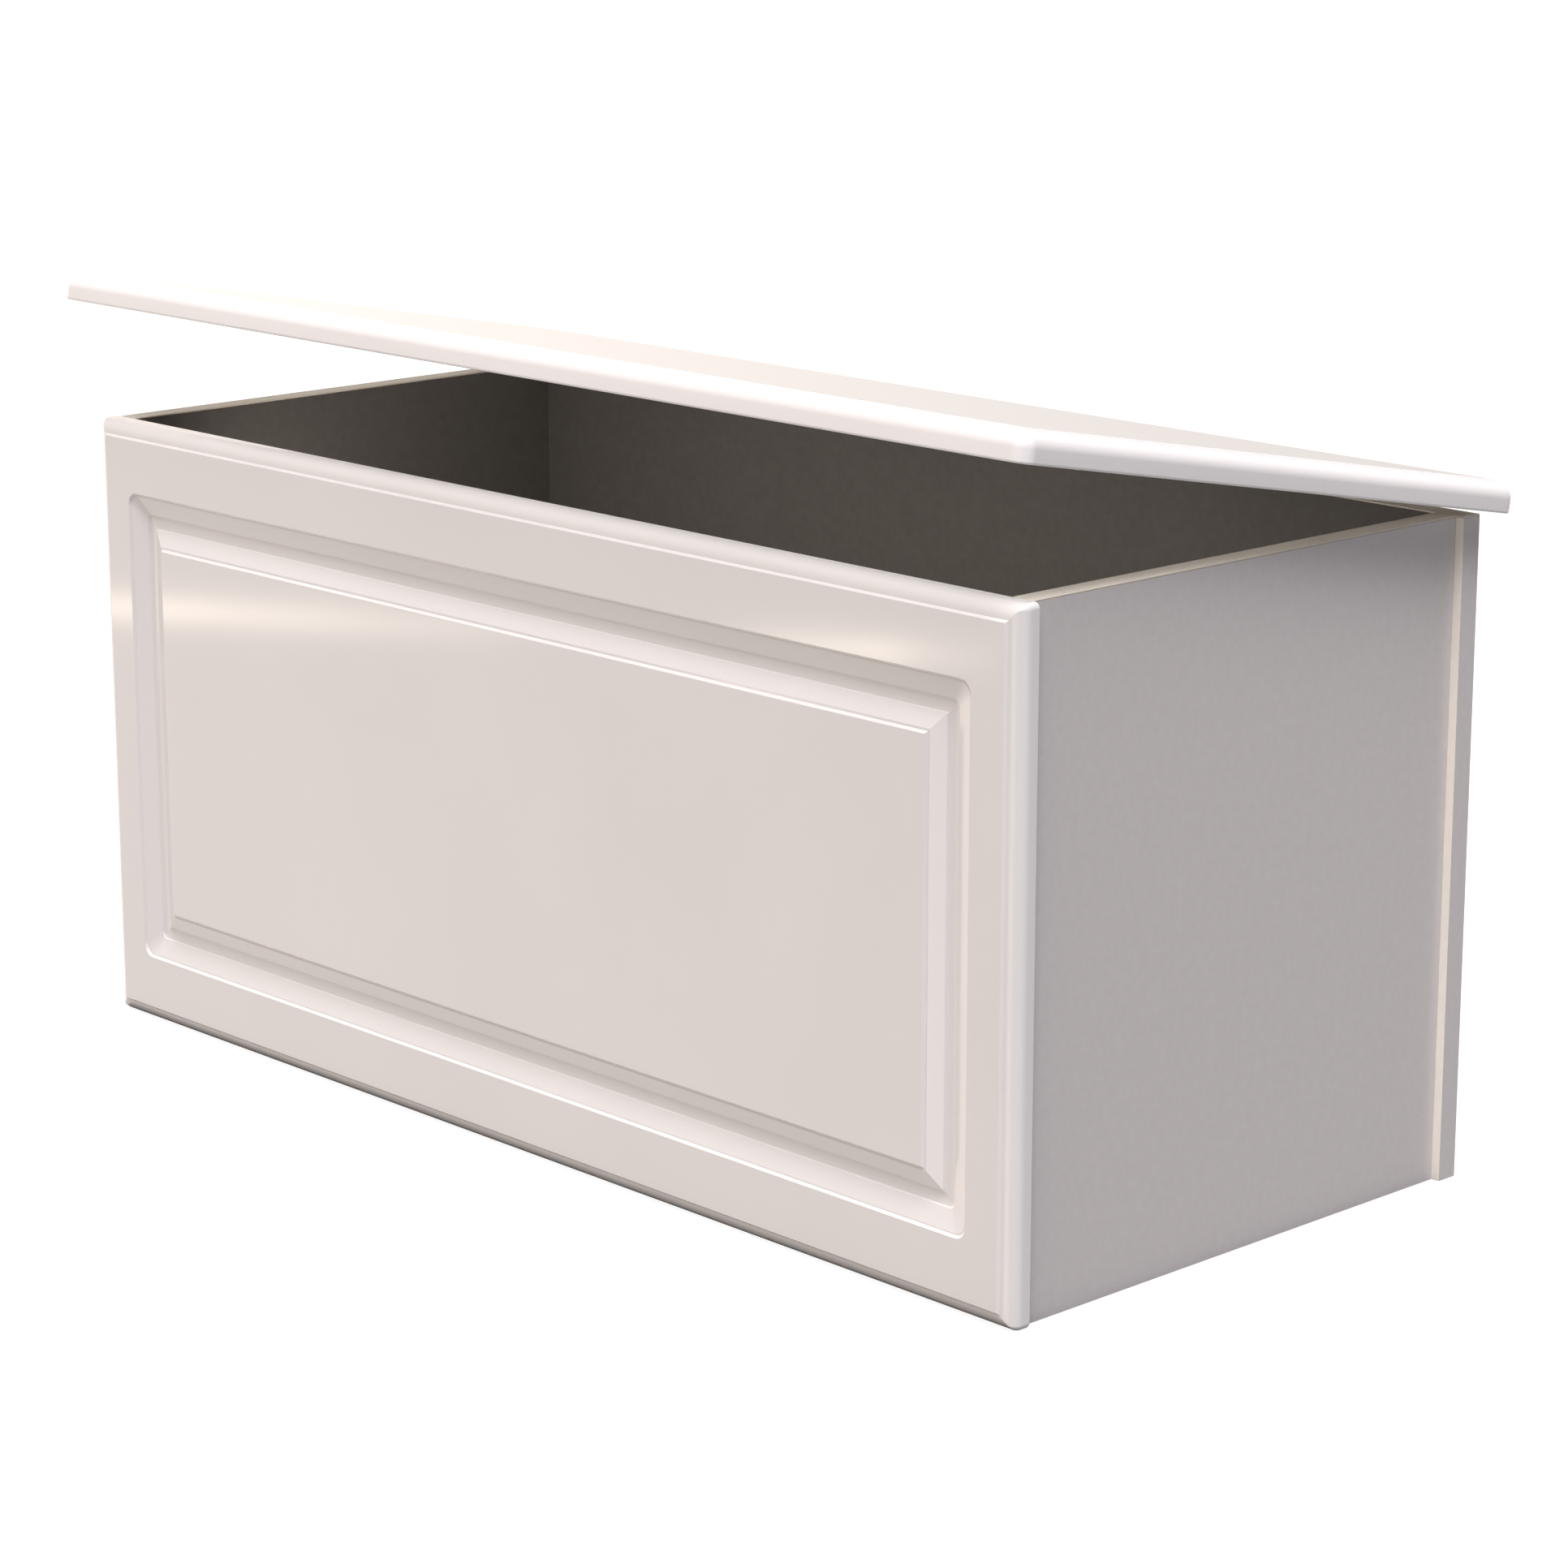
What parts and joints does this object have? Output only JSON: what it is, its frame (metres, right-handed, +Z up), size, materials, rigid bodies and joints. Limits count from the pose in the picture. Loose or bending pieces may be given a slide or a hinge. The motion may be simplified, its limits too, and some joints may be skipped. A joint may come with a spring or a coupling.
{
  "type": "storage bench",
  "caption": "Low rectangular storage bench with a raised-field front panel, plain side boards, an open chest inside and a thick rear-hinged lid standing ajar as the seat.",
  "frame": {"origin": "on the floor, at the middle of the body's footprint", "axes": "+X along the bench to its right end as seen from the front, +Y from the front to the back, +Z up"},
  "size_m": [0.93, 0.4489, 0.537],
  "materials": {
    "wrapped_white": "satin white foil wrapped over fibreboard, faintly warm",
    "melamine_board": "matt light grey melamine outside, charcoal melamine on the chest's inner faces",
    "charcoal_board": "matt charcoal melamine",
    "edge_band": "matt cream edge band",
    "pine": "planed pine, unfinished",
    "zinc_hardware": "dull zinc plate",
    "hinge_steel": "satin nickel plate",
    "cap_plastic": "light grey moulded plastic",
    "bumper_rubber": "soft translucent white rubber"
  },
  "bodies": {
    "root": {"front_panel": "wrapped_white", "left_side_panel": "melamine_board", "right_side_panel": "melamine_board", "back_panel": "melamine_board", "base_panel": "charcoal_board", "left_edge_band": "edge_band", "right_edge_band": "edge_band", "back_edge_band": "edge_band", "front_cleat": "pine", "left_cleat": "pine", "right_cleat": "pine", "cleat_screws": "zinc_hardware", "base_screws": "zinc_hardware", "cam_locks": "zinc_hardware", "cam_bolts": "zinc_hardware", "dowels": "pine", "confirmat_screws": "zinc_hardware", "screw_caps": "cap_plastic", "left_hinge_body_leaf": "hinge_steel", "middle_hinge_body_leaf": "hinge_steel", "right_hinge_body_leaf": "hinge_steel", "left_hinge_pin": "hinge_steel", "middle_hinge_pin": "hinge_steel", "right_hinge_pin": "hinge_steel", "body_hinge_screws": "hinge_steel"},
    "lid": {"lid_board": "wrapped_white", "left_hinge_lid_leaf": "hinge_steel", "middle_hinge_lid_leaf": "hinge_steel", "right_hinge_lid_leaf": "hinge_steel", "lid_hinge_screws": "hinge_steel", "lid_bumpers": "bumper_rubber"}
  },
  "joints": [
    {"name": "lid_hinge", "type": "hinge", "parent": "root", "child": "lid", "pos_m": [0, 0.2108, 0.4334], "axis": [-1, 0, 0], "range_deg": [-10.8, 84.2]}
  ]
}
